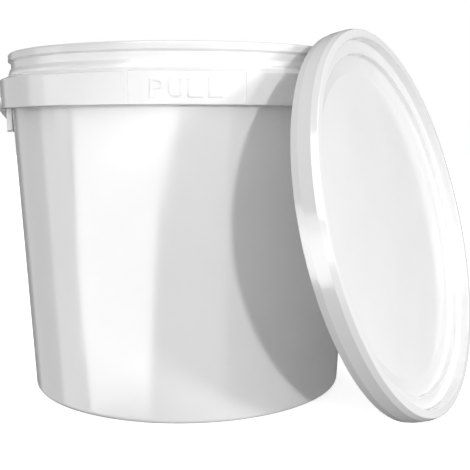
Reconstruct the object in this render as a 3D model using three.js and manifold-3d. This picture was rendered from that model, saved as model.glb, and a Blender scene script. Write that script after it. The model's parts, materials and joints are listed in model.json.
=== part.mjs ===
// A moulded plastic bucket with its lid taken off and leaning against it.
// Millimetres, +Z up. The origin is on the bucket's axis, at the height of the surface it stands on.

import * as THREE from 'three';
import { mergeVertices } from 'three/addons/utils/BufferGeometryUtils.js';
import Module from 'manifold-3d';

const wasm = await Module();
wasm.setup();

// Bucket: rim
const rimRadius = 128;              // outside of the rim bead, which the lid snaps over
const rimTop = 240;                 // height of the bucket
const rimHeight = 5.2;
const rimRounding = 1.3;
const neckDepth = 2.0;              // how far the neck under the bead lies inside the bead
const neckHeight = 5.6;

// Bucket: wall and base
const wallThickness = 1.6;
const wallInset = 0.6;              // how far the wall lies inside the shoulder where the two meet
const wallTaper = 0.0565;           // how much the wall draws in for each millimetre further down
const footRounding = 2.8;
const footRingWidth = 4.5;
const baseRecess = 2.0;             // the base panel's underside lies this far above the surface
const baseThickness = 2.0;
const floorRounding = 5.0;

// Bucket: hanging collar
const shoulderHeight = 4.6;
const ledgeFall = 2.8;              // drop of the sloping ledge from the shoulder out to the collar
const ledgeWidth = 6.2;
const collarHeight = 19.6;
const collarTaper = 0.8;            // how much the collar's face draws in down to its hem
const collarThickness = 1.4;
const collarEdge = 0.7;             // rounding of the collar's upper edge

// Bucket: tear segment in the collar's face
const tearHalfAngle = 15.2;         // degrees each side of the front
const scoreWidth = 0.8;
const scoreDepth = 0.5;

// Bucket: raised word on the tear segment
const letterHeight = 11.3;
const letterStroke = 1.9;
const letterRelief = 0.5;
const letterSink = 0.4;             // how far the letters reach into the face, to be one with it
const letterWidths = [8.2, 8.8, 9.2, 8.6];
const letterGap = 2.7;

// Bucket: handle lugs
const lugWidth = 22;
const lugDrop = 1.2;                // how far the lug reaches below the collar's hem
const lugRise = 15.4;               // how far it reaches above the hem
const lugThickness = 5.2;
const lugStand = 0.1;               // how far its flat outside stands off the collar's widest point
const lugRounding = 5;
const pivotAboveHem = 7.0;
const pinHoleRadius = 3.6;

// Bucket: guard tabs, which hang under the collar between each lug and the wall
const tabWidth = 26;
const tabDrop = 15.9;               // how far the tab reaches below the hem
const tabThickness = 4.0;
const tabWallGap = 0.4;
const tabRounding = 2;

// Lid
const skirtClearance = 0.3;         // between the rim bead and the inside of the lid's skirt
const lidThickness = 1.3;
const skirtHeight = 16.3;           // height of the whole lid, from the hem to the top of the stacking rim
const hemBevelHeight = 4.6;
const hemBevelInset = 0.5;
const bandDraft = 0.4;              // how much the band draws in up to its top
const stopHeight = 11.6;            // height above the hem at which the bucket's rim comes to rest
const bandAboveStop = 0.8;          // how far above that height the band ends and the sloping strip starts
const stripInset = 1.6;             // how much the strip draws in from the skirt up to the stacking rim's edge
const stackRimRounding = 0.6;
const plugClearance = 0.5;          // between the inside of the bucket's neck and the lid's plug wall
const shelfDepth = 6.2;             // from the top of the stacking rim down to the shelf
const shelfWidth = 8.8;
const stepDepth = 3.9;
const panelDish = 2.2;              // fall of the ring between the step and the flat panel
const dishWidth = 11;
const snapBeadDepth = 0.9;
const snapBeadHeight = 2.0;
const snapBeadBelowRim = 0.5;

// Lid: how it leans
const leanAngle = 14.5;             // degrees the lid's face tips back from upright
const leanBearing = -33;            // degrees about +Z from +X towards which its face looks
const leanGap = 0.3;                // between the lid and the bucket where it leans

// Handle
const bossRadius = 7.6;
const bossThickness = 4.0;
const bossGap = 0.3;                // between the boss and the lug
const pinClearance = 0.3;
const pinHeadRadius = 4.6;
const pinHeadThickness = 1.1;
const strapWidth = 13;
const strapThickness = 3.0;
const strapClearance = 0.7;         // between the swinging strap and the collar's upper corner
const gripWidth = 19;
const gripHalfAngle = 26;           // degrees of arc each side of the strap's middle
const handleDroop = 20.5;           // degrees the handle hangs below level behind the bucket

// Facets
const roundSegments = 72;
const arcSteps = 4;
const leanSampleStep = 0.5;         // spacing of the points that the leaning lid is placed by
const pinSegments = 24;

const degrees = Math.PI / 180;

// Sizes that follow from the values above
const rimBottom = rimTop - rimHeight;
const neckRadius = rimRadius - neckDepth;
const neckInside = neckRadius - wallThickness;
const neckBottom = rimBottom - neckHeight;
const shoulderBottom = neckBottom - shoulderHeight;
const shoulderRadius = rimRadius - 0.1;
const ledgeRadius = shoulderRadius + ledgeWidth;
const ledgeHeight = shoulderBottom - ledgeFall;
const hemHeight = ledgeHeight - collarHeight;
const hemRadius = ledgeRadius - collarTaper;
const floorTop = baseRecess + baseThickness;
const pivotHeight = hemHeight + pivotAboveHem;
const lugOutside = ledgeRadius + lugStand;
const skirtInside = rimRadius + skirtClearance;
const skirtRadius = skirtInside + lidThickness;
const plugOutside = neckInside - plugClearance;
const plugInside = plugOutside - lidThickness;

function wallRadius(height) {
  return shoulderRadius - wallInset - wallTaper * (shoulderBottom - height);
}

function collarRadius(height) {
  return hemRadius + collarTaper * (height - hemHeight) / collarHeight;
}

// Points of an arc from one angle to another, in degrees, ends included.
function arcPoints(centreX, centreY, radius, from, to, steps = arcSteps) {
  const points = [];
  for (let step = 0; step <= steps; step += 1) {
    const angle = (from + (to - from) * step / steps) * degrees;
    points.push([centreX + radius * Math.cos(angle), centreY + radius * Math.sin(angle)]);
  }
  return points;
}

function lathe(points, segments = roundSegments) {
  const profile = points.map(([radius, height]) => new THREE.Vector2(radius, height));
  const geometry = new THREE.LatheGeometry(profile, segments);
  geometry.rotateX(Math.PI / 2);
  return geometry;
}

function toSolid(geometry) {
  const bare = geometry.index ? geometry.toNonIndexed() : geometry.clone();
  bare.deleteAttribute('normal');
  bare.deleteAttribute('uv');
  const merged = mergeVertices(bare, 1e-4);
  const triVerts = [];
  const index = merged.index.array;
  for (let corner = 0; corner < index.length; corner += 3) {
    const [a, b, c] = [index[corner], index[corner + 1], index[corner + 2]];
    if (a !== b && b !== c && c !== a) {
      triVerts.push(a, b, c);
    }
  }
  const solid = new wasm.Manifold(new wasm.Mesh({
    numProp: 3,
    vertProperties: new Float32Array(merged.attributes.position.array),
    triVerts: new Uint32Array(triVerts),
  }));
  return solid;
}

function toGeometry(solid) {
  const mesh = solid.getMesh();
  const geometry = new THREE.BufferGeometry();
  geometry.setAttribute('position', new THREE.BufferAttribute(new Float32Array(mesh.vertProperties), 3));
  geometry.setIndex(new THREE.BufferAttribute(new Uint32Array(mesh.triVerts), 1));
  geometry.computeVertexNormals();
  return geometry;
}

// A short round bar along X between two places.
function barAlongX(radius, from, to, height) {
  const geometry = new THREE.CylinderGeometry(radius, radius, to - from, pinSegments);
  geometry.rotateZ(Math.PI / 2);
  geometry.translate((from + to) / 2, 0, height);
  return toSolid(geometry);
}

// The bucket's section from the middle of its underside round to the middle of its floor.
function bucketProfile() {
  const footOutside = wallRadius(footRounding);
  const ringInside = footOutside - footRounding - footRingWidth;
  const insideTop = neckBottom - shoulderHeight / 2;
  const floorEdge = wallRadius(floorTop + floorRounding) - wallThickness;
  return [
    [0, baseRecess],
    [ringInside - baseRecess, baseRecess],
    [ringInside, 0],
    ...arcPoints(footOutside - footRounding, footRounding, footRounding, -90, 0),
    [wallRadius(ledgeHeight - collarThickness), ledgeHeight - collarThickness],
    [ledgeRadius - collarThickness, ledgeHeight - collarThickness],
    [hemRadius - collarThickness, hemHeight],
    [hemRadius, hemHeight],
    ...arcPoints(ledgeRadius - collarEdge, ledgeHeight - collarEdge, collarEdge, 0, 65, 2),
    [shoulderRadius, shoulderBottom],
    ...arcPoints(shoulderRadius - shoulderHeight, shoulderBottom, shoulderHeight, 8, 52, 3)
      .filter(([radius]) => radius > neckRadius + 0.3),
    [neckRadius + 0.3, neckBottom],
    [neckRadius, neckBottom + 0.3],
    [neckRadius, rimBottom - 0.8],
    [rimRadius - 0.3, rimBottom + 0.2],
    [rimRadius, rimBottom + 0.6],
    ...arcPoints(rimRadius - rimRounding, rimTop - rimRounding, rimRounding, 0, 90, 3),
    [neckInside + 0.8, rimTop],
    [neckInside, rimTop - 0.8],
    [neckInside, neckBottom],
    [wallRadius(insideTop) - wallThickness, insideTop],
    ...arcPoints(floorEdge - floorRounding, floorTop + floorRounding, floorRounding, 0, -90),
    [0, floorTop],
  ];
}

// A vertical score line cut into the collar's face at one side of the tear segment.
function scoreLine(angle) {
  const groove = new THREE.BoxGeometry(scoreWidth, scoreDepth * 2, collarHeight + 2);
  groove.rotateX(-Math.atan(collarTaper / collarHeight));
  groove.translate(0, -(hemRadius + collarTaper / 2), hemHeight + collarHeight / 2 - 0.6);
  groove.rotateZ(angle * degrees);
  return toSolid(groove);
}

// One outline for each letter, drawn from its lower left corner.
function letterShapes() {
  const h = letterHeight;
  const s = letterStroke;
  const [bowed, cupped, angled, lastAngled] = letterWidths;

  const bowHeight = h * 0.56;
  const bowRadius = bowHeight / 2;
  const first = new THREE.Shape();
  first.moveTo(0, 0);
  first.lineTo(s, 0);
  first.lineTo(s, h - bowHeight);
  first.lineTo(bowed - bowRadius, h - bowHeight);
  first.absarc(bowed - bowRadius, h - bowRadius, bowRadius, -Math.PI / 2, Math.PI / 2, false);
  first.lineTo(0, h);
  first.closePath();
  const eye = new THREE.Path();
  eye.moveTo(s, h - s);
  eye.lineTo(bowed - bowRadius, h - s);
  eye.absarc(bowed - bowRadius, h - bowRadius, bowRadius - s, Math.PI / 2, -Math.PI / 2, true);
  eye.lineTo(s, h - bowHeight + s);
  eye.closePath();
  first.holes.push(eye);

  const cupRadius = cupped / 2;
  const second = new THREE.Shape();
  second.moveTo(0, h);
  second.lineTo(0, cupRadius);
  second.absarc(cupRadius, cupRadius, cupRadius, Math.PI, 2 * Math.PI, false);
  second.lineTo(cupped, h);
  second.lineTo(cupped - s, h);
  second.lineTo(cupped - s, cupRadius);
  second.absarc(cupRadius, cupRadius, cupRadius - s, 0, -Math.PI, true);
  second.lineTo(s, h);
  second.closePath();

  const corner = (width) => {
    const shape = new THREE.Shape();
    shape.moveTo(0, 0);
    shape.lineTo(width, 0);
    shape.lineTo(width, s);
    shape.lineTo(s, s);
    shape.lineTo(s, h);
    shape.lineTo(0, h);
    shape.closePath();
    return shape;
  };
  return [first, second, corner(angled), corner(lastAngled)];
}

// The raised letters, bent round the middle of the tear segment.
function raisedWord() {
  const wordWidth = letterWidths.reduce((sum, width) => sum + width, 0) + 3 * letterGap;
  const bottom = hemHeight + (collarHeight - letterHeight) / 2;
  const solids = [];
  let left = -wordWidth / 2;
  letterShapes().forEach((shape, place) => {
    const letter = new THREE.ExtrudeGeometry(shape, {
      depth: letterSink + letterRelief,
      bevelEnabled: false,
      curveSegments: 6,
    });
    const points = letter.attributes.position;
    for (let corner = 0; corner < points.count; corner += 1) {
      const along = left + points.getX(corner);
      const height = bottom + points.getY(corner);
      const radius = collarRadius(height) - letterSink + points.getZ(corner);
      const angle = along / hemRadius;
      points.setXYZ(corner, radius * Math.sin(angle), -radius * Math.cos(angle), height);
    }
    solids.push(toSolid(letter));
    left += letterWidths[place] + letterGap;
  });
  return solids;
}

// A flat plate with rounded lower corners, standing across X. side is +1 for +X, -1 for -X.
function hangingPlate({ width, low, high, rounding, inside, thickness, side }) {
  const half = width / 2;
  const outline = new THREE.Shape();
  outline.moveTo(-half, high);
  outline.lineTo(-half, low + rounding);
  outline.absarc(-half + rounding, low + rounding, rounding, Math.PI, 1.5 * Math.PI, false);
  outline.absarc(half - rounding, low + rounding, rounding, 1.5 * Math.PI, 2 * Math.PI, false);
  outline.lineTo(half, high);
  outline.closePath();
  const plate = new THREE.ExtrudeGeometry(outline, {
    depth: thickness,
    bevelEnabled: false,
    curveSegments: 4,
  });
  plate.rotateX(Math.PI / 2);
  plate.rotateZ(Math.PI / 2);
  plate.translate(inside, 0, 0);
  if (side < 0) {
    plate.rotateZ(Math.PI);
  }
  return toSolid(plate);
}

// The lug goes through the collar and carries one end of the handle.
function handleLug(side) {
  return hangingPlate({
    width: lugWidth,
    low: hemHeight - lugDrop,
    high: hemHeight + lugRise,
    rounding: lugRounding,
    inside: lugOutside - lugThickness,
    thickness: lugThickness,
    side,
  });
}

// The tab reaches up to the underside of the ledge, into which it is moulded.
function guardTab(side) {
  return hangingPlate({
    width: tabWidth,
    low: hemHeight - tabDrop,
    high: ledgeHeight - collarThickness / 2,
    rounding: tabRounding,
    inside: wallRadius(hemHeight) + tabWallGap,
    thickness: tabThickness,
    side,
  });
}

// The hole for the handle's pin, with a pocket behind the lug for the pin's head.
function pinHole(side) {
  const pocketInside = wallRadius(pivotHeight) + tabWallGap / 2;
  const lugInside = lugOutside - lugThickness;
  const cut = (radius, inner, outer) => (side > 0
    ? barAlongX(radius, inner, outer, pivotHeight)
    : barAlongX(radius, -outer, -inner, pivotHeight));
  const pocket = cut(pinHeadRadius + pinClearance, pocketInside, lugInside);
  return cut(pinHoleRadius, lugInside - 1, lugOutside + 1).add(pocket);
}

function makeBucket() {
  let bucket = toSolid(lathe(bucketProfile()));
  for (const side of [1, -1]) {
    bucket = bucket.add(guardTab(side)).add(handleLug(side)).subtract(pinHole(side));
    bucket = bucket.subtract(scoreLine(side * tearHalfAngle));
  }
  for (const letter of raisedWord()) {
    bucket = bucket.add(letter);
  }
  return toGeometry(bucket);
}

// The lid's section in its own frame: the skirt's hem at height 0, the face upwards.
function lidProfile() {
  const bandTop = stopHeight + bandAboveStop;
  const bandRadius = skirtRadius - bandDraft;
  const rimOutside = skirtRadius - stripInset;
  const hollowRadius = rimOutside - lidThickness;
  const shelfTop = skirtHeight - shelfDepth;
  const shelfInside = plugInside - shelfWidth;
  const stepTop = shelfTop - stepDepth;
  const panelEdge = shelfInside - dishWidth;
  const panelTop = stepTop - panelDish;
  const hollowTop = skirtHeight - lidThickness;
  const beadTop = stopHeight - rimHeight - snapBeadBelowRim;
  return [
    [0, panelTop - lidThickness],
    [panelEdge, panelTop - lidThickness],
    [shelfInside + lidThickness - 0.6, stepTop - lidThickness],
    [shelfInside + lidThickness, stepTop - lidThickness + 0.6],
    [shelfInside + lidThickness, shelfTop - lidThickness],
    [plugOutside - 0.6, shelfTop - lidThickness],
    [plugOutside, shelfTop - lidThickness + 0.6],
    [plugOutside, hollowTop],
    [hollowRadius, hollowTop],
    [hollowRadius, stopHeight],
    [skirtInside, stopHeight],
    [skirtInside, beadTop],
    [skirtInside - snapBeadDepth, beadTop - snapBeadHeight / 2],
    [skirtInside, beadTop - snapBeadHeight],
    [skirtInside, 0],
    [skirtRadius - hemBevelInset, 0],
    [skirtRadius, hemBevelHeight],
    [bandRadius, bandTop],
    [rimOutside, skirtHeight - stackRimRounding],
    [rimOutside - stackRimRounding, skirtHeight],
    [plugInside + stackRimRounding, skirtHeight],
    [plugInside, skirtHeight - stackRimRounding],
    [plugInside, shelfTop + stackRimRounding],
    [plugInside - stackRimRounding, shelfTop],
    [shelfInside + stackRimRounding, shelfTop],
    [shelfInside, shelfTop - stackRimRounding],
    [shelfInside, stepTop + stackRimRounding],
    [shelfInside - stackRimRounding, stepTop],
    [panelEdge, panelTop],
    [0, panelTop],
  ];
}

// How far a point is from the bucket's rim and collar, taken as two discs.
function distanceToBucket(point) {
  const radius = Math.hypot(point.x, point.y);
  let nearest = Infinity;
  for (const [discRadius, discTop] of [[rimRadius, rimTop], [ledgeRadius, ledgeHeight]]) {
    const out = radius - discRadius;
    const over = point.z - discTop;
    const distance = over > 0 ? Math.hypot(Math.max(out, 0), over) : out;
    nearest = Math.min(nearest, distance);
  }
  return nearest;
}

// Stands the lid on its hem, tips it, and slides it in until it all but touches the bucket.
function leaningPlace() {
  const lean = leanAngle * degrees;
  const bearing = leanBearing * degrees;
  const turn = new THREE.Quaternion().setFromEuler(new THREE.Euler(0, Math.PI / 2 - lean, bearing, 'ZYX'));
  const samples = [];
  const profile = lidProfile();
  for (let corner = 1; corner < profile.length; corner += 1) {
    const [fromRadius, fromHeight] = profile[corner - 1];
    const [toRadius, toHeight] = profile[corner];
    const length = Math.hypot(toRadius - fromRadius, toHeight - fromHeight);
    const parts = Math.max(12, Math.ceil(length / leanSampleStep));
    for (let part = 0; part < parts; part += 1) {
      const share = part / parts;
      const radius = fromRadius + (toRadius - fromRadius) * share;
      const height = fromHeight + (toHeight - fromHeight) * share;
      for (let step = 0; step < 180; step += 1) {
        const angle = step * 2 * degrees;
        const point = new THREE.Vector3(radius * Math.cos(angle), radius * Math.sin(angle), height);
        samples.push(point.applyQuaternion(turn));
      }
    }
  }
  const lowest = samples.reduce((low, point) => Math.min(low, point.z), Infinity);
  const outward = new THREE.Vector3(Math.cos(bearing), Math.sin(bearing), 0);
  let near = 0;
  let far = rimRadius * 4;
  while (far - near > 0.001) {
    const middle = (near + far) / 2;
    const place = outward.clone().multiplyScalar(middle).setZ(-lowest);
    const clear = samples.every((point) => distanceToBucket(point.clone().add(place)) >= leanGap);
    if (clear) {
      far = middle;
    } else {
      near = middle;
    }
  }
  return { turn, position: outward.multiplyScalar(far).setZ(-lowest) };
}

// The handle lies level along +Y here, with its pivot line through the middle of the group.
function makeHandle() {
  const bossInside = lugOutside + bossGap;
  const cornerReach = Math.hypot(ledgeRadius, ledgeHeight - pivotHeight);
  const strapInside = Math.max(cornerReach + strapClearance, bossInside);
  const strapOutside = strapInside + strapThickness;
  const pinRadius = pinHoleRadius - pinClearance;
  const headOutside = lugOutside - lugThickness - bossGap;

  const band = (halfWidth, from, to) => {
    const shape = new THREE.Shape();
    shape.absarc(0, 0, strapOutside, from, to, false);
    shape.absarc(0, 0, strapInside, to, from, true);
    shape.closePath();
    const geometry = new THREE.ExtrudeGeometry(shape, {
      depth: halfWidth * 2,
      bevelEnabled: false,
      curveSegments: Math.ceil(roundSegments * (to - from) / (2 * Math.PI)),
    });
    geometry.translate(0, 0, -halfWidth);
    return toSolid(geometry);
  };

  let handle = band(strapWidth / 2, 0, Math.PI);
  const gripAngle = gripHalfAngle * degrees;
  handle = handle.add(band(gripWidth / 2, Math.PI / 2 - gripAngle, Math.PI / 2 + gripAngle));
  for (const side of [1, -1]) {
    const bar = (radius, inner, outer) => (side > 0
      ? barAlongX(radius, inner, outer, 0)
      : barAlongX(radius, -outer, -inner, 0));
    handle = handle.add(bar(bossRadius, bossInside, bossInside + bossThickness));
    handle = handle.add(bar(pinRadius, headOutside - pinHeadThickness / 2, bossInside + 1));
    handle = handle.add(bar(pinHeadRadius, headOutside - pinHeadThickness, headOutside));
  }
  return toGeometry(handle);
}

const plastic = new THREE.MeshStandardMaterial({ color: 0xf1f1f1, roughness: 0.22, metalness: 0 });
const lidPlastic = plastic.clone();
const handlePlastic = plastic.clone();

const bucketWithLid = new THREE.Group();

const tub = new THREE.Mesh(makeBucket(), plastic);
tub.name = 'tub';
bucketWithLid.add(tub);

const lid = new THREE.Mesh(toGeometry(toSolid(lathe(lidProfile()))), lidPlastic);
lid.name = 'lid';
const place = leaningPlace();
lid.quaternion.copy(place.turn);
lid.position.copy(place.position);
bucketWithLid.add(lid);

const handle = new THREE.Mesh(makeHandle(), handlePlastic);
handle.name = 'handle';
handle.position.set(0, 0, pivotHeight);
handle.rotation.x = -handleDroop * degrees;
bucketWithLid.add(handle);

export default bucketWithLid;
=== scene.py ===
import json
import math

import bmesh
import bpy
from mathutils import Euler, Matrix, Vector


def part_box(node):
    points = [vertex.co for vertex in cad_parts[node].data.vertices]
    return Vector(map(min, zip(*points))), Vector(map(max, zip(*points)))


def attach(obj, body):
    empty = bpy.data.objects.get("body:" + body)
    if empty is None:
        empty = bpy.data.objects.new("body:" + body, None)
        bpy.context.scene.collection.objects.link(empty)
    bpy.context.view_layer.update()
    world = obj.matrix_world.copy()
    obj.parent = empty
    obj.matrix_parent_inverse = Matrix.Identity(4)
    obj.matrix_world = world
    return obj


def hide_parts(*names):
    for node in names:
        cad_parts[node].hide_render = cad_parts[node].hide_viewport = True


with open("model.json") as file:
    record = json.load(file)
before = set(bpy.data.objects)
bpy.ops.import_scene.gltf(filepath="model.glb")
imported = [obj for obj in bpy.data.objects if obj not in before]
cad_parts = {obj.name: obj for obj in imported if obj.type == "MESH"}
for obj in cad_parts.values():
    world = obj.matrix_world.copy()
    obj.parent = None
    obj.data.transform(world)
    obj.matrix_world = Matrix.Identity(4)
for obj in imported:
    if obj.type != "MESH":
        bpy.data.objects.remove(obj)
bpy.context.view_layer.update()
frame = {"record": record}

mm = 0.001
bodyOf = {node: body for body, nodes in frame["record"]["behaviour"]["bodies"].items() for node in nodes}
pivotHeight = frame["record"]["behaviour"]["joints"][0]["pos_m"][2] / mm

# sizes in millimetres; the main ones are those of the solids
bucketSizes = {
    "rimRadius": 128.0,
    "rimTop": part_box("tub")[1][2] / mm,
    "rimHeight": 5.2,
    "rimRounding": 1.3,
    "neckDepth": 2.0,
    "neckHeight": 5.6,
    "wallThickness": 1.6,
    "wallInset": 0.6,
    "wallTaper": 0.0565,
    "footRounding": 2.8,
    "footRingWidth": 4.5,
    "baseRecess": 2.0,
    "baseThickness": 2.0,
    "floorRounding": 5.0,
    "shoulderHeight": 4.6,
    "shoulderCrown": 0.45,   # share of its height at which the shoulder turns in
    "ledgeFall": 2.8,
    "ledgeWidth": 6.2,
    "collarHeight": 19.6,
    "collarTaper": 0.8,
    "collarThickness": 1.4,
    "collarEdge": 0.7,
    "creaseStep": 0.7,       # fine crease where the neck meets the shoulder
    "creaseRise": 0.2,
    "creaseFall": 0.1,
    "beadUnderFall": 0.8,    # slope under the rim bead
    "beadUnderRise": 0.4,
    "smallStep": 0.1,
    "columns": 360,
}

tearStrip = {
    "halfAngle": 15.2,      # degrees each side of the front
    "scoreWidth": 0.8,
    "scoreDepth": 0.45,
    "sideDepth": 0.92,      # share of the depth one column away
    "outerPull": 1.5,       # columns two away are drawn to this many half widths
    "faceShare": 0.4,       # only vertices in the outer part of the collar are moved
    "topMargin": 0.4,
}

wordSizes = {
    "height": 11.3,
    "stroke": 1.9,
    "relief": 0.5,
    "sink": 0.4,
    "widths": (8.2, 8.8, 9.2, 8.6),
    "gap": 2.7,
    "bevel": 0.22,
    "arcSteps": 16,
    "bowShare": 0.56,
}

lugSizes = {
    "width": 22.0,
    "drop": 1.2,
    "rise": 15.4,
    "thickness": 5.2,
    "stand": 0.1,
    "rounding": 5.0,
    "holeRadius": 3.6,
    "edge": 0.5,
}

tabSizes = {
    "width": 26.0,
    "drop": 15.9,
    "thickness": 4.0,
    "wallGap": 0.4,
    "rounding": 2.0,
    "holeRadius": 4.9,
    "edge": 0.4,
}

lidSizes = {
    "skirtClearance": 0.3,
    "thickness": 1.3,
    "skirtHeight": 16.3,
    "hemBevelHeight": 4.6,
    "hemBevelInset": 0.5,
    "bandDraft": 0.4,
    "stopHeight": 11.6,
    "bandAboveStop": 0.8,
    "stripInset": 1.6,
    "plugClearance": 0.5,
    "shelfDepth": 6.2,
    "shelfWidth": 8.8,
    "stepDepth": 3.9,
    "panelDish": 2.2,
    "dishWidth": 11.0,
    "snapBeadDepth": 0.9,
    "snapBeadHeight": 2.0,
    "snapBeadBelowRim": 0.5,
    "lipHeight": 0.3,
    "lipInset": 0.35,
    "leanAngle": 14.5,
    "leanBearing": -33.0,
    "columns": 360,
}

handleSizes = {
    "bossRadius": 7.6,
    "bossThickness": 4.0,
    "bossGap": 0.3,
    "pinClearance": 0.3,
    "pinHeadRadius": 4.6,
    "pinHeadThickness": 1.1,
    "strapWidth": 13.0,
    "strapThickness": 3.0,
    "strapClearance": 0.7,
    "gripWidth": 19.0,
    "gripHalfAngle": 26.0,
    "gripBlend": 5.0,       # degrees over which the strap widens to the grip
    "droop": 20.5,
    "edge": 0.55,
    "edgeBend": 0.3,        # share of the edge cut off at its middle
    "steps": 160,
    "bossSteps": 64,
    "headChamfer": 0.6,
    "dimpleEdge": 0.42,     # shares of the boss radius
    "dimpleFloor": 0.36,
    "dimpleDepth": 0.6,
}

plateSteps = {"corner": 10, "hole": 48}
crispAngle = 50     # degrees; edges that turn more stay crisp


# small helpers

def sectionPoints(corners, arcStep=12.0, support=0.2):
    # corners are (radius, height, rounding), from axis to axis; each rounding becomes an arc
    points = []
    for place, corner in enumerate(corners):
        here = Vector(corner[:2])
        rounding = corner[2] if len(corner) > 2 else 0.0
        if rounding <= 0 or place in (0, len(corners) - 1):
            points.append(here)
            continue
        before = Vector(corners[place - 1][:2]) - here
        after = Vector(corners[place + 1][:2]) - here
        roomBefore, roomAfter = before.length, after.length
        before.normalize()
        after.normalize()
        half = math.acos(max(-1.0, min(1.0, before.dot(after)))) / 2
        if half > math.radians(89):
            points.append(here)
            continue
        run = rounding / math.tan(half)
        run = min(run, roomBefore * 0.48, roomAfter * 0.48)
        radius = run * math.tan(half)
        middle = here + (before + after).normalized() * (radius / math.sin(half))
        start, end = here + before * run, here + after * run
        turn = math.pi - 2 * half
        steps = max(2, math.ceil(math.degrees(turn) / arcStep))
        armStart, armEnd = start - middle, end - middle
        if roomBefore > run * 2 + support * 2:
            points.append(start + before * support)
        for step in range(steps + 1):
            share = step / steps
            arm = armStart * math.sin((1 - share) * turn) + armEnd * math.sin(share * turn)
            points.append(middle + arm / math.sin(turn))
        if roomAfter > run * 2 + support * 2:
            points.append(end + after * support)
    return points


def newMesh(name, vertices, faces=(), edges=()):
    mesh = bpy.data.meshes.new(name)
    mesh.from_pydata([tuple(v) for v in vertices], list(edges), list(faces))
    mesh.update()
    piece = bpy.data.objects.new(name, mesh)
    bpy.context.scene.collection.objects.link(piece)
    return piece


def socketId(tree, name):
    for item in tree.interface.items_tree:
        if item.item_type == "SOCKET" and item.in_out == "INPUT" and item.name == name:
            return item.identifier
    raise KeyError(name)


def treeNodes(tree):
    def add(kind, **settings):
        node = tree.nodes.new(kind)
        for key, value in settings.items():
            setattr(node, key, value)
        return node

    def math2(operation, a, b):
        node = add("ShaderNodeMath", operation=operation)
        for slot, value in enumerate((a, b)):
            if value is None:
                continue
            if isinstance(value, (int, float)):
                node.inputs[slot].default_value = value
            else:
                tree.links.new(value, node.inputs[slot])
        return node.outputs[0]
    return add, math2


def turningTree():
    # turns a row of points, radius in X and height in Z, once round the Z axis
    tree = bpy.data.node_groups.new("turned section", "GeometryNodeTree")
    face = tree.interface
    face.new_socket("Geometry", in_out="INPUT", socket_type="NodeSocketGeometry")
    face.new_socket("Columns", in_out="INPUT", socket_type="NodeSocketInt")
    face.new_socket("Finish", in_out="INPUT", socket_type="NodeSocketMaterial")
    face.new_socket("Geometry", in_out="OUTPUT", socket_type="NodeSocketGeometry")
    add, calc = treeNodes(tree)
    link = tree.links.new
    start = add("NodeGroupInput")
    end = add("NodeGroupOutput")
    size = add("GeometryNodeAttributeDomainSize", component="MESH")
    link(start.outputs["Geometry"], size.inputs[0])
    rows = size.outputs["Point Count"]
    around = calc("ADD", start.outputs["Columns"], 1)
    grid = add("GeometryNodeMeshGrid")
    link(around, grid.inputs["Vertices X"])
    link(rows, grid.inputs["Vertices Y"])
    index = add("GeometryNodeInputIndex").outputs[0]
    column = calc("FLOOR", calc("DIVIDE", calc("ADD", index, 0.5), rows), None)
    row = calc("SUBTRACT", index, calc("MULTIPLY", column, rows))
    sample = add("GeometryNodeSampleIndex", data_type="FLOAT_VECTOR", domain="POINT")
    link(start.outputs["Geometry"], sample.inputs["Geometry"])
    place = add("GeometryNodeInputPosition")
    link(place.outputs[0], sample.inputs["Value"])
    link(row, sample.inputs["Index"])
    split = add("ShaderNodeSeparateXYZ")
    link(sample.outputs[0], split.inputs[0])
    angle = calc("MULTIPLY", column, calc("DIVIDE", 2 * math.pi, start.outputs["Columns"]))
    join = add("ShaderNodeCombineXYZ")
    link(calc("MULTIPLY", split.outputs[0], calc("SINE", angle, None)), join.inputs[0])
    ahead = calc("MULTIPLY", calc("COSINE", angle, None), -1)
    link(calc("MULTIPLY", split.outputs[0], ahead), join.inputs[1])
    link(split.outputs[2], join.inputs[2])
    move = add("GeometryNodeSetPosition")
    link(grid.outputs["Mesh"], move.inputs["Geometry"])
    link(join.outputs[0], move.inputs["Position"])
    merge = add("GeometryNodeMergeByDistance")
    merge.inputs["Distance"].default_value = 1e-6
    link(move.outputs[0], merge.inputs["Geometry"])
    realize = add("GeometryNodeRealizeInstances")
    link(merge.outputs[0], realize.inputs[0])
    finish = add("GeometryNodeSetMaterial")
    link(realize.outputs[0], finish.inputs["Geometry"])
    link(start.outputs["Finish"], finish.inputs["Material"])
    link(finish.outputs[0], end.inputs[0])
    return tree


def turned(name, points, columns, material, tree):
    # runs the tree on a row of points and returns a plain mesh, faces outward
    row = [(point[0] * mm, 0, point[1] * mm) for point in points]
    piece = newMesh(name + "Section", row, edges=[(i, i + 1) for i in range(len(row) - 1)])
    modifier = piece.modifiers.new("turn", "NODES")
    modifier.node_group = tree
    modifier[socketId(tree, "Columns")] = columns
    modifier[socketId(tree, "Finish")] = material
    bpy.context.view_layer.update()
    graph = bpy.context.evaluated_depsgraph_get()
    mesh = bpy.data.meshes.new_from_object(piece.evaluated_get(graph))
    piece.modifiers.remove(modifier)
    bpy.data.objects.remove(piece)
    mesh.name = name
    work = bmesh.new()
    work.from_mesh(mesh)
    bmesh.ops.dissolve_degenerate(work, dist=1e-7, edges=work.edges)
    bmesh.ops.recalc_face_normals(work, faces=work.faces)
    work.to_mesh(mesh)
    work.free()
    return mesh


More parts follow.
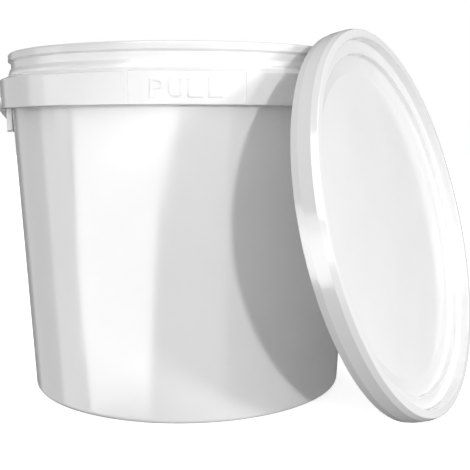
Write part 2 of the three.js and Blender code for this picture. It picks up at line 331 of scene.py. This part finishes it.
def filledShape(loops, thickness, edge):
    # a flat outline with holes, given thickness about Z = 0 and a rounded edge, as one closed mesh
    curve = bpy.data.curves.new("outline", "CURVE")
    curve.dimensions = "2D"
    curve.fill_mode = "BOTH"
    for loop in loops:
        spline = curve.splines.new("POLY")
        spline.points.add(len(loop) - 1)
        for point, (x, y) in zip(spline.points, loop):
            point.co = (x, y, 0, 1)
        spline.use_cyclic_u = True
    curve.extrude = thickness / 2 - edge
    curve.bevel_depth = edge
    curve.offset = -edge
    curve.bevel_resolution = 2
    holder = bpy.data.objects.new("outline", curve)
    bpy.context.scene.collection.objects.link(holder)
    bpy.context.view_layer.update()
    graph = bpy.context.evaluated_depsgraph_get()
    mesh = bpy.data.meshes.new_from_object(holder.evaluated_get(graph))
    bpy.data.objects.remove(holder)
    work = bmesh.new()
    work.from_mesh(mesh)
    bmesh.ops.remove_doubles(work, verts=work.verts, dist=1e-4)
    bmesh.ops.recalc_face_normals(work, faces=work.faces)
    work.to_mesh(mesh)
    work.free()
    return mesh


def joinMeshes(name, meshes, material):
    work = bmesh.new()
    for mesh in meshes:
        work.from_mesh(mesh)
    mesh = bpy.data.meshes.new(name)
    work.to_mesh(mesh)
    work.free()
    mesh.materials.clear()
    mesh.materials.append(material)
    for face in mesh.polygons:
        face.material_index = 0
        face.use_smooth = True
    piece = bpy.data.objects.new(name, mesh)
    bpy.context.scene.collection.objects.link(piece)
    return piece


def keepCrisp(piece):
    work = bmesh.new()
    work.from_mesh(piece.data)
    for edge in work.edges:
        if len(edge.link_faces) == 2:
            edge.smooth = edge.calc_face_angle(0) < math.radians(crispAngle)
    work.to_mesh(piece.data)
    work.free()


# finish

plasticFinish = {
    "tone": 0.86,
    "toneSpread": 0.012,
    "roughness": 0.16,
    "roughnessSpread": 0.05,
    "peelScale": 420.0,
    "peelStrength": 0.05,
    "peelDistance": 0.0004,
    "flowScale": 22.0,
    "flowStrength": 0.035,
    "flowDistance": 0.002,
    "smearScale": 88.0,
    "noiseLow": 0.3,
    "noiseHigh": 0.7,
    "ior": 1.49,
}


def glossPlastic(name, tone, seed):
    # moulded polypropylene: near white, glossy, with a faint skin texture and slow flow marks
    material = bpy.data.materials.new(name)
    material.use_nodes = True
    tree = material.node_tree
    tree.nodes.clear()
    add, calc = treeNodes(tree)
    link = tree.links.new
    shader = add("ShaderNodeBsdfPrincipled")
    out = add("ShaderNodeOutputMaterial")
    link(shader.outputs[0], out.inputs[0])
    coords = add("ShaderNodeTexCoord")
    spot = add("ShaderNodeMapping")
    spot.inputs["Location"].default_value = (seed, seed * 0.7, seed * 1.3)
    link(coords.outputs["Object"], spot.inputs["Vector"])

    def spread(noise, middle, reach):
        # turns a noise into values that lie about a middle
        node = add("ShaderNodeMapRange")
        node.inputs["From Min"].default_value = plasticFinish["noiseLow"]
        node.inputs["From Max"].default_value = plasticFinish["noiseHigh"]
        node.inputs["To Min"].default_value = middle - reach
        node.inputs["To Max"].default_value = middle + reach
        link(noise.outputs["Fac"], node.inputs["Value"])
        return node.outputs[0]

    cloud = add("ShaderNodeTexNoise")
    cloud.inputs["Scale"].default_value = plasticFinish["flowScale"]
    cloud.inputs["Detail"].default_value = 3
    link(spot.outputs[0], cloud.inputs["Vector"])
    paint = add("ShaderNodeCombineColor")
    shade = spread(cloud, tone, plasticFinish["toneSpread"])
    for channel in range(3):
        link(shade, paint.inputs[channel])
    link(paint.outputs[0], shader.inputs["Base Color"])

    smear = add("ShaderNodeTexNoise")
    smear.inputs["Scale"].default_value = plasticFinish["smearScale"]
    link(spot.outputs[0], smear.inputs["Vector"])
    gloss = spread(smear, plasticFinish["roughness"], plasticFinish["roughnessSpread"] / 2)
    link(gloss, shader.inputs["Roughness"])

    peel = add("ShaderNodeTexNoise")
    peel.inputs["Scale"].default_value = plasticFinish["peelScale"]
    peel.inputs["Detail"].default_value = 2
    link(spot.outputs[0], peel.inputs["Vector"])
    skin = add("ShaderNodeBump")
    skin.inputs["Strength"].default_value = plasticFinish["peelStrength"]
    skin.inputs["Distance"].default_value = plasticFinish["peelDistance"]
    link(peel.outputs["Fac"], skin.inputs["Height"])
    waves = add("ShaderNodeBump")
    waves.inputs["Strength"].default_value = plasticFinish["flowStrength"]
    waves.inputs["Distance"].default_value = plasticFinish["flowDistance"]
    link(cloud.outputs["Fac"], waves.inputs["Height"])
    link(skin.outputs[0], waves.inputs["Normal"])
    link(waves.outputs[0], shader.inputs["Normal"])

    shader.inputs["IOR"].default_value = plasticFinish["ior"]
    return material


bucketPlastic = glossPlastic("bucketPlastic", plasticFinish["tone"], 0.0)
lidPlastic = glossPlastic("lidPlastic", plasticFinish["tone"], 3.1)
handlePlastic = glossPlastic("handlePlastic", plasticFinish["tone"] - 0.01, 7.7)
turning = turningTree()
print("materials and turning tree ready")


# bucket

def bucketHeights(s):
    s["rimBottom"] = s["rimTop"] - s["rimHeight"]
    s["neckRadius"] = s["rimRadius"] - s["neckDepth"]
    s["neckInside"] = s["neckRadius"] - s["wallThickness"]
    s["neckBottom"] = s["rimBottom"] - s["neckHeight"]
    s["shoulderBottom"] = s["neckBottom"] - s["shoulderHeight"]
    s["shoulderRadius"] = s["rimRadius"] - s["smallStep"]
    s["ledgeRadius"] = s["shoulderRadius"] + s["ledgeWidth"]
    s["ledgeHeight"] = s["shoulderBottom"] - s["ledgeFall"]
    s["hemHeight"] = s["ledgeHeight"] - s["collarHeight"]
    s["hemRadius"] = s["ledgeRadius"] - s["collarTaper"]
    s["floorTop"] = s["baseRecess"] + s["baseThickness"]


bucketHeights(bucketSizes)


def wallRadius(height):
    s = bucketSizes
    return s["shoulderRadius"] - s["wallInset"] - s["wallTaper"] * (s["shoulderBottom"] - height)


def collarRadius(height):
    s = bucketSizes
    return s["hemRadius"] + s["collarTaper"] * (height - s["hemHeight"]) / s["collarHeight"]


def bucketCorners(s):
    ringInside = wallRadius(s["footRounding"]) - s["footRounding"] - s["footRingWidth"]
    webUnder = s["ledgeHeight"] - s["collarThickness"]
    insideTop = s["neckBottom"] - s["shoulderHeight"] / 2
    crown = s["shoulderBottom"] + s["shoulderHeight"] * s["shoulderCrown"]
    # from the axis under the base to the axis on the floor: radius, height, rounding
    return [
        (0, s["baseRecess"]),
        (ringInside - s["baseRecess"], s["baseRecess"], 0.8),
        (ringInside, 0, 0.5),
        (wallRadius(0), 0, s["footRounding"]),
        (wallRadius(webUnder), webUnder, 0.7),
        (s["ledgeRadius"] - s["collarThickness"], webUnder, 0.7),
        (s["hemRadius"] - s["collarThickness"], s["hemHeight"], 0.4),
        (s["hemRadius"], s["hemHeight"], 0.9),
        (s["ledgeRadius"], s["ledgeHeight"] + s["smallStep"], s["collarEdge"]),
        (s["shoulderRadius"], s["shoulderBottom"], 0.6),
        (s["shoulderRadius"] - s["smallStep"], crown, 2.6),
        (s["neckRadius"] + s["creaseStep"], s["neckBottom"] + s["creaseRise"], 0.15),
        (s["neckRadius"], s["neckBottom"] - s["creaseFall"], 0.1),
        (s["neckRadius"], s["rimBottom"] - s["beadUnderFall"], 0.3),
        (s["rimRadius"], s["rimBottom"] + s["beadUnderRise"], 0.35),
        (s["rimRadius"], s["rimTop"], s["rimRounding"]),
        (s["neckInside"], s["rimTop"], 0.8),
        (s["neckInside"], s["neckBottom"], 2.5),
        (wallRadius(insideTop) - s["wallThickness"], insideTop, 2.5),
        (wallRadius(s["floorTop"]) - s["wallThickness"], s["floorTop"], s["floorRounding"]),
        (0, s["floorTop"]),
    ]


def cutScores(mesh):
    # draws nearby columns together at each score line and presses them in
    s, t = bucketSizes, tearStrip
    columnStep = 2 * math.pi / s["columns"]
    half = t["scoreWidth"] / 2 / s["hemRadius"]
    pulls = (0.0, half, half * t["outerPull"])
    depths = (t["scoreDepth"], t["scoreDepth"] * t["sideDepth"], 0)
    innermost = s["hemRadius"] - s["collarThickness"] * t["faceShare"]
    for vertex in mesh.vertices:
        radius = math.hypot(vertex.co.x, vertex.co.y) / mm
        height = vertex.co.z / mm
        if radius < innermost or height > s["ledgeHeight"] + t["topMargin"]:
            continue
        angle = math.atan2(vertex.co.x, -vertex.co.y)
        for side in (-1, 1):
            score = side * t["halfAngle"] * math.pi / 180
            offset = angle / columnStep - round(score / columnStep)
            away = abs(round(offset))
            if away >= len(pulls):
                continue
            bent = score + pulls[away] * (1 if offset > 0 else -1)
            deep = (radius - depths[away]) * mm
            vertex.co.x = deep * math.sin(bent)
            vertex.co.y = -deep * math.cos(bent)


def letterOutlines(w):
    # outer outline and holes of each letter, drawn from its lower left corner
    h, s, n = w["height"], w["stroke"], w["arcSteps"]
    bowed, cupped, angled, lastAngled = w["widths"]

    def arc(cx, cy, r, start, end):
        turns = [math.radians(start + (end - start) * i / n) for i in range(n + 1)]
        return [(cx + r * math.cos(turn), cy + r * math.sin(turn)) for turn in turns]

    bow = h * w["bowShare"]
    r = bow / 2
    first = [(0, 0), (s, 0), (s, h - bow)] + arc(bowed - r, h - r, r, -90, 90) + [(0, h)]
    eye = [(s, h - s)] + arc(bowed - r, h - r, r - s, 90, -90) + [(s, h - bow + s)]
    c = cupped / 2
    second = [(0, h)] + arc(c, c, c, 180, 360) + [(cupped, h), (cupped - s, h)]
    second += arc(c, c, c - s, 0, -180) + [(s, h)]

    def corner(width):
        return [(0, 0), (width, 0), (width, s), (s, s), (s, h), (0, h)]
    return [(first, [eye]), (second, []), (corner(angled), []), (corner(lastAngled), [])]


def raisedWord(w):
    # each letter is a filled 2-D curve with a rounded edge, made a mesh and bent round the collar
    s = bucketSizes
    length = sum(w["widths"]) + w["gap"] * 3
    bottom = s["hemHeight"] + (s["collarHeight"] - w["height"]) / 2
    left = -length / 2
    meshes = []
    for place, (outline, holes) in enumerate(letterOutlines(w)):
        thick = w["relief"] + w["sink"]
        mesh = filledShape([outline] + holes, thick, w["bevel"])
        for vertex in mesh.vertices:
            along = left + vertex.co.x
            height = bottom + vertex.co.y
            radius = collarRadius(height) - w["sink"] + thick / 2 + vertex.co.z
            angle = along / s["hemRadius"]
            vertex.co = Vector((radius * math.sin(angle), -radius * math.cos(angle), height)) * mm
        meshes.append(mesh)
        left += w["widths"][place] + w["gap"]
    return meshes


def hangingPlate(side, low, high, inside, g):
    # flat plate across X with rounded lower corners, a round hole and eased edges
    half, rounding = g["width"] / 2, g["rounding"]
    thickness, holeRadius = g["thickness"], g["holeRadius"]
    outline = [(half, high), (-half, high)]
    for centre, start in ((-half + rounding, 180), (half - rounding, 270)):
        for step in range(plateSteps["corner"] + 1):
            angle = math.radians(start + 90 * step / plateSteps["corner"])
            across, up = rounding * math.cos(angle), rounding * math.sin(angle)
            outline.append((centre + across, low + rounding + up))
    turns = [2 * math.pi / plateSteps["hole"] * i for i in range(plateSteps["hole"])]
    hole = [(holeRadius * math.cos(turn), pivotHeight + holeRadius * math.sin(turn)) for turn in turns]
    mesh = filledShape([outline, hole], thickness, g["edge"])
    for vertex in mesh.vertices:
        across, height, depth = vertex.co
        vertex.co = Vector((side * (inside + thickness / 2 + depth), side * across, height)) * mm
    return mesh


def lugMesh(side):
    s, g = bucketSizes, lugSizes
    inside = s["ledgeRadius"] + g["stand"] - g["thickness"]
    return hangingPlate(side, s["hemHeight"] - g["drop"], s["hemHeight"] + g["rise"], inside, g)


def tabMesh(side):
    s, g = bucketSizes, tabSizes
    inside = wallRadius(s["hemHeight"]) + g["wallGap"]
    top = s["ledgeHeight"] - s["collarThickness"] / 2
    return hangingPlate(side, s["hemHeight"] - g["drop"], top, inside, g)


tubSection = sectionPoints(bucketCorners(bucketSizes))
tubShell = turned("tubShell", tubSection, bucketSizes["columns"], bucketPlastic, turning)
cutScores(tubShell)
plates = [make(side) for make in (lugMesh, tabMesh) for side in (1, -1)]
tubPiece = joinMeshes("bucketMoulding", [tubShell] + raisedWord(wordSizes) + plates, bucketPlastic)
keepCrisp(tubPiece)
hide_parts("tub")
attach(tubPiece, bodyOf["tub"])
print("bucket made,", len(tubPiece.data.polygons), "faces")


# lid

def lidCorners(s, b):
    skirtInside = b["rimRadius"] + s["skirtClearance"]
    skirtRadius = skirtInside + s["thickness"]
    plugOutside = b["neckInside"] - s["plugClearance"]
    plugInside = plugOutside - s["thickness"]
    bandTop = s["stopHeight"] + s["bandAboveStop"]
    bandRadius = skirtRadius - s["bandDraft"]
    rimOutside = skirtRadius - s["stripInset"]
    shelfTop = s["skirtHeight"] - s["shelfDepth"]
    shelfInside = plugInside - s["shelfWidth"]
    stepTop = shelfTop - s["stepDepth"]
    panelEdge = shelfInside - s["dishWidth"]
    panelTop = stepTop - s["panelDish"]
    t = s["thickness"]
    hollowRadius = rimOutside - t
    hollowTop = s["skirtHeight"] - t
    beadTop = s["stopHeight"] - b["rimHeight"] - s["snapBeadBelowRim"]
    # from the axis under the panel to the axis on it: radius, height, rounding
    return [
        (0, panelTop - t),
        (panelEdge, panelTop - t, 1.5),
        (shelfInside + t, stepTop - t, 0.8),
        (shelfInside + t, shelfTop - t, 0.6),
        (plugOutside, shelfTop - t, 0.7),
        (plugOutside, hollowTop, 0.4),
        (hollowRadius, hollowTop, 0.4),
        (hollowRadius, s["stopHeight"], 0.3),
        (skirtInside, s["stopHeight"], 0.4),
        (skirtInside, beadTop, 0.3),
        (skirtInside - s["snapBeadDepth"], beadTop - s["snapBeadHeight"] / 2, 0.35),
        (skirtInside, beadTop - s["snapBeadHeight"], 0.3),
        (skirtInside, 0, 0.25),
        (skirtRadius - s["hemBevelInset"], 0, 0.35),
        (skirtRadius, s["hemBevelHeight"], 0.9),
        (bandRadius, bandTop, 0.9),
        (rimOutside, s["skirtHeight"] - s["lipHeight"], 0.4),
        (rimOutside - s["lipInset"], s["skirtHeight"], 0.3),
        (plugInside, s["skirtHeight"], 0.6),
        (plugInside, shelfTop, 0.6),
        (shelfInside, shelfTop, 0.6),
        (shelfInside, stepTop, 0.9),
        (panelEdge, panelTop, 1.5),
        (0, panelTop),
    ]


def layInPlace(mesh, turn, low, high):
    # turns a mesh and sets it in the solid's box, standing on the same height; where its finer
    # facets would reach past that box it is made smaller by that hair
    hair = 1e-6
    mesh.transform(turn)
    start = [min(v.co[axis] for v in mesh.vertices) for axis in range(3)]
    end = [max(v.co[axis] for v in mesh.vertices) for axis in range(3)]
    fit = min([1.0] + [(high[axis] - low[axis] - 2 * hair) / (end[axis] - start[axis]) for axis in range(3)])
    middle = Vector([(low[axis] + high[axis]) / 2 - fit * (start[axis] + end[axis]) / 2 for axis in range(3)])
    middle.z = low[2] + hair - fit * start[2]
    mesh.transform(Matrix.Translation(middle) @ Matrix.Scale(fit, 4))


lidSection = sectionPoints(lidCorners(lidSizes, bucketSizes))
lidMesh = turned("lidShell", lidSection, lidSizes["columns"], lidPlastic, turning)
tilt = Matrix.Rotation(math.pi / 2 - math.radians(lidSizes["leanAngle"]), 4, "Y")
aim = Matrix.Rotation(math.radians(lidSizes["leanBearing"]), 4, "Z")
layInPlace(lidMesh, aim @ tilt, *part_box("lid"))
lidPiece = joinMeshes("lidMoulding", [lidMesh], lidPlastic)
keepCrisp(lidPiece)
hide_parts("lid")
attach(lidPiece, bodyOf["lid"])
print("lid made,", len(lidPiece.data.polygons), "faces")


# handle

def handleStrap(h, b, g):
    # a flat strap swept along the bow, wider at the grip, with eased edges
    pivotOut = b["ledgeRadius"] + g["stand"] + h["bossGap"]
    reach = math.hypot(b["ledgeRadius"], b["ledgeHeight"] - pivotHeight)
    inside = max(reach + h["strapClearance"], pivotOut)
    outside = inside + h["strapThickness"]
    e = h["edge"]
    bend = e * h["edgeBend"]
    work = bmesh.new()
    rings = []
    for step in range(h["steps"] + 1):
        angle = math.pi * step / h["steps"]
        fromMiddle = abs(math.degrees(angle) - 90)
        share = max(0.0, min(1.0, (h["gripHalfAngle"] - fromMiddle) / h["gripBlend"]))
        share = share * share * (3 - 2 * share)
        half = (h["strapWidth"] + (h["gripWidth"] - h["strapWidth"]) * share) / 2
        section = [(inside, half - e), (inside + bend, half - bend), (inside + e, half),
                   (outside - e, half), (outside - bend, half - bend), (outside, half - e),
                   (outside, -half + e), (outside - bend, -half + bend), (outside - e, -half),
                   (inside + e, -half), (inside + bend, -half + bend), (inside, -half + e)]
        across, ahead = math.cos(angle), math.sin(angle)
        rings.append([work.verts.new((r * across * mm, r * ahead * mm, z * mm)) for r, z in section])
    for one, two in zip(rings, rings[1:]):
        for i in range(len(one)):
            j = (i + 1) % len(one)
            work.faces.new((one[i], one[j], two[j], two[i]))
    work.faces.new(rings[0][::-1])
    work.faces.new(rings[-1])
    bmesh.ops.recalc_face_normals(work, faces=work.faces)
    mesh = bpy.data.meshes.new("strap")
    work.to_mesh(mesh)
    work.free()
    return mesh


def bossMesh(side, h, b, g, tree):
    # boss, pin and retaining head in one turned shape, laid along X
    outside = b["ledgeRadius"] + g["stand"]
    pinRadius = g["holeRadius"] - h["pinClearance"]
    headOut = outside - g["thickness"] - h["bossGap"]
    bossIn = outside + h["bossGap"]
    bossOut = bossIn + h["bossThickness"]
    corners = [
        (0, headOut - h["pinHeadThickness"]),
        (h["pinHeadRadius"] - h["headChamfer"], headOut - h["pinHeadThickness"], 0.3),
        (h["pinHeadRadius"], headOut, 0.2),
        (pinRadius, headOut, 0.2),
        (pinRadius, bossIn, 0.2),
        (h["bossRadius"], bossIn, 0.4),
        (h["bossRadius"], bossOut, 0.9),
        (h["bossRadius"] * h["dimpleEdge"], bossOut, 0.3),
        (h["bossRadius"] * h["dimpleFloor"], bossOut - h["dimpleDepth"], 0.3),
        (0, bossOut - h["dimpleDepth"]),
    ]
    mesh = turned("boss", sectionPoints(corners, support=0.1), h["bossSteps"], handlePlastic, tree)
    mesh.transform(Matrix.Rotation(side * math.pi / 2, 4, "Y"))
    return mesh


handleMeshes = [handleStrap(handleSizes, bucketSizes, lugSizes)]
handleMeshes += [bossMesh(side, handleSizes, bucketSizes, lugSizes, turning) for side in (1, -1)]
droop = Matrix.Rotation(-math.radians(handleSizes["droop"]), 4, "X")
hang = Matrix.Translation((0, 0, pivotHeight * mm)) @ droop
for mesh in handleMeshes:
    mesh.transform(hang)
handlePiece = joinMeshes("handleBow", handleMeshes, handlePlastic)
keepCrisp(handlePiece)
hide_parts("handle")
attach(handlePiece, bodyOf["handle"])
print("handle made,", len(handlePiece.data.polygons), "faces")


# stage, camera and lights

stageSizes = {
    "floorTone": 0.9,
    "floorGlow": 0.6,
    "floorSize": 6.0,
    "worldCamera": 1.0,
    "worldGlossy": 0.15,
    "worldAbove": 0.77,
    "worldBelow": 0.28,
    "horizonBand": 0.15,    # the world turns from below to above within this height of its direction
    "floorRoughness": 0.9,
    "cardDistance": 1.6,
    "cardColumns": 24,
}

cameraView = {
    "place": (0.0, -0.6187, 0.1864),
    "yaw": 3.37,        # degrees to the right of +Y
    "pitch": -7.22,
    "lens": 62.38,
}


def makeStage(s):
    world = bpy.data.worlds.new("studio")
    world.use_nodes = True
    bpy.context.scene.world = world
    tree = world.node_tree
    ground = tree.nodes["Background"]
    ground.inputs["Color"].default_value = (1, 1, 1, 1)
    add, calc = treeNodes(tree)
    path = add("ShaderNodeLightPath")
    seen = path.outputs["Is Camera Ray"]
    mirrored = calc("MAXIMUM", path.outputs["Is Glossy Ray"], path.outputs["Is Transmission Ray"])
    rest = calc("SUBTRACT", 1.0, calc("MAXIMUM", seen, mirrored))
    seenPart = calc("MULTIPLY", seen, s["worldCamera"])
    total = calc("ADD", seenPart, calc("MULTIPLY", mirrored, s["worldGlossy"]))
    # soft light from above, less from below, so that undersides stay darker
    direction = add("ShaderNodeSeparateXYZ")
    tree.links.new(add("ShaderNodeTexCoord").outputs["Generated"], direction.inputs[0])
    sky = add("ShaderNodeMapRange")
    sky.inputs["From Min"].default_value = -s["horizonBand"]
    sky.inputs["From Max"].default_value = s["horizonBand"]
    sky.inputs["To Min"].default_value = s["worldBelow"]
    sky.inputs["To Max"].default_value = s["worldAbove"]
    tree.links.new(direction.outputs[2], sky.inputs["Value"])
    tree.links.new(calc("ADD", total, calc("MULTIPLY", rest, sky.outputs[0])), ground.inputs["Strength"])

    size = s["floorSize"]
    corners = [(-size, -size, 0), (size, -size, 0), (size, size, 0), (-size, size, 0)]
    floor = newMesh("floor", corners, [(0, 1, 2, 3)])
    paper = bpy.data.materials.new("paper")
    paper.use_nodes = True
    tree = paper.node_tree
    add, calc = treeNodes(tree)
    shader = tree.nodes["Principled BSDF"]
    shader.inputs["Base Color"].default_value = (s["floorTone"],) * 3 + (1,)
    shader.inputs["Roughness"].default_value = s["floorRoughness"]
    shader.inputs["Emission Color"].default_value = (1, 1, 1, 1)
    path = add("ShaderNodeLightPath")
    glow = calc("MULTIPLY", path.outputs["Is Camera Ray"], s["floorGlow"])
    tree.links.new(glow, shader.inputs["Emission Strength"])
    floor.data.materials.append(paper)
    floor.visible_glossy = False
    floor.visible_diffuse = False


def reflectionCard(name, edge, glow):
    # a bent sheet that only mirror-like rays see; edge rows are (height, right azimuth, left azimuth)
    radius = stageSizes["cardDistance"]
    steps = stageSizes["cardColumns"]
    points = []
    for height, rightEdge, leftEdge in edge:
        for step in range(steps + 1):
            angle = math.radians(rightEdge + (leftEdge - rightEdge) * step / steps)
            points.append((-radius * math.sin(angle), -radius * math.cos(angle), height))
    faces = []
    for row in range(len(edge) - 1):
        for step in range(steps):
            i = row * (steps + 1) + step
            faces.append((i, i + 1, i + steps + 2, i + steps + 1))
    card = newMesh(name, points, faces)
    material = bpy.data.materials.new(name)
    material.use_nodes = True
    tree = material.node_tree
    tree.nodes.clear()
    lamp = tree.nodes.new("ShaderNodeEmission")
    lamp.inputs["Strength"].default_value = glow
    out = tree.nodes.new("ShaderNodeOutputMaterial")
    tree.links.new(lamp.outputs[0], out.inputs[0])
    material.cycles.emission_sampling = "NONE"
    card.data.materials.append(material)
    card.visible_camera = False
    card.visible_diffuse = False
    card.visible_shadow = False
    card.visible_transmission = False


def areaLight(name, place, target, size, power):
    data = bpy.data.lights.new(name, "AREA")
    data.shape = "RECTANGLE"
    data.size, data.size_y = size
    data.energy = power
    lamp = bpy.data.objects.new(name, data)
    lamp.location = place
    lamp.rotation_euler = (Vector(target) - Vector(place)).to_track_quat("-Z", "Y").to_euler()
    lamp.visible_glossy = False
    bpy.context.scene.collection.objects.link(lamp)


lamps = {
    "key": {"place": (0.95, -2.25, 0.5), "target": (0.05, -0.1, 0.12), "size": (0.12, 0.12), "power": 16},
    "right": {"place": (1.9, -1.4, 0.35), "target": (0.13, -0.1, 0.12), "size": (0.25, 0.25), "power": 15.5},
    "left": {"place": (-1.5, -1.2, 0.5), "target": (0, 0, 0.12), "size": (0.8, 1.2), "power": 1.5},
}

cards = {
    "stripe": {"edge": [(-0.68, 27, 74), (-0.64, 27, 74), (-0.45, 23, 77), (-0.25, 20, 77), (-0.15, 17, 76),
                        (-0.07, 11, 75), (0.04, 5, 74), (0.1, 3, 74)], "glow": 9},
    "front": {"edge": [(0.1, -60, 88), (0.37, -60, 88)], "glow": 5.5},
    "high": {"edge": [(0.47, -70, 40), (2.6, -70, 40)], "glow": 8},
    "side": {"edge": [(-0.8, 77, 102), (0.5, 77, 102)], "glow": 2.8},
    "far": {"edge": [(-0.8, 102, 140), (0.5, 102, 140)], "glow": 0.9},
    "right": {"edge": [(0.25, -116, -104), (0.75, -116, -104)], "glow": 0.6},
    "dim": {"edge": [(-0.68, -26, 27), (-0.64, -26, 27), (-0.45, -26, 23), (-0.25, -26, 20), (-0.15, -26, 17),
                     (-0.07, -26, 11), (0.04, -26, 5), (0.1, -26, 3)], "glow": 1.8},
}


def makeCamera(c):
    data = bpy.data.cameras.new("camera")
    data.lens = c["lens"]
    data.sensor_width = 36
    camera = bpy.data.objects.new("camera", data)
    camera.location = c["place"]
    camera.rotation_euler = Euler((math.radians(90 + c["pitch"]), 0, -math.radians(c["yaw"])))
    bpy.context.scene.collection.objects.link(camera)
    bpy.context.scene.camera = camera


makeStage(stageSizes)
for name, lamp in lamps.items():
    areaLight(name, **lamp)
for name, card in cards.items():
    reflectionCard(name, **card)
makeCamera(cameraView)
bpy.context.scene.view_settings.view_transform = "Standard"
print("stage, lights and camera ready")

bpy.context.view_layer.update()
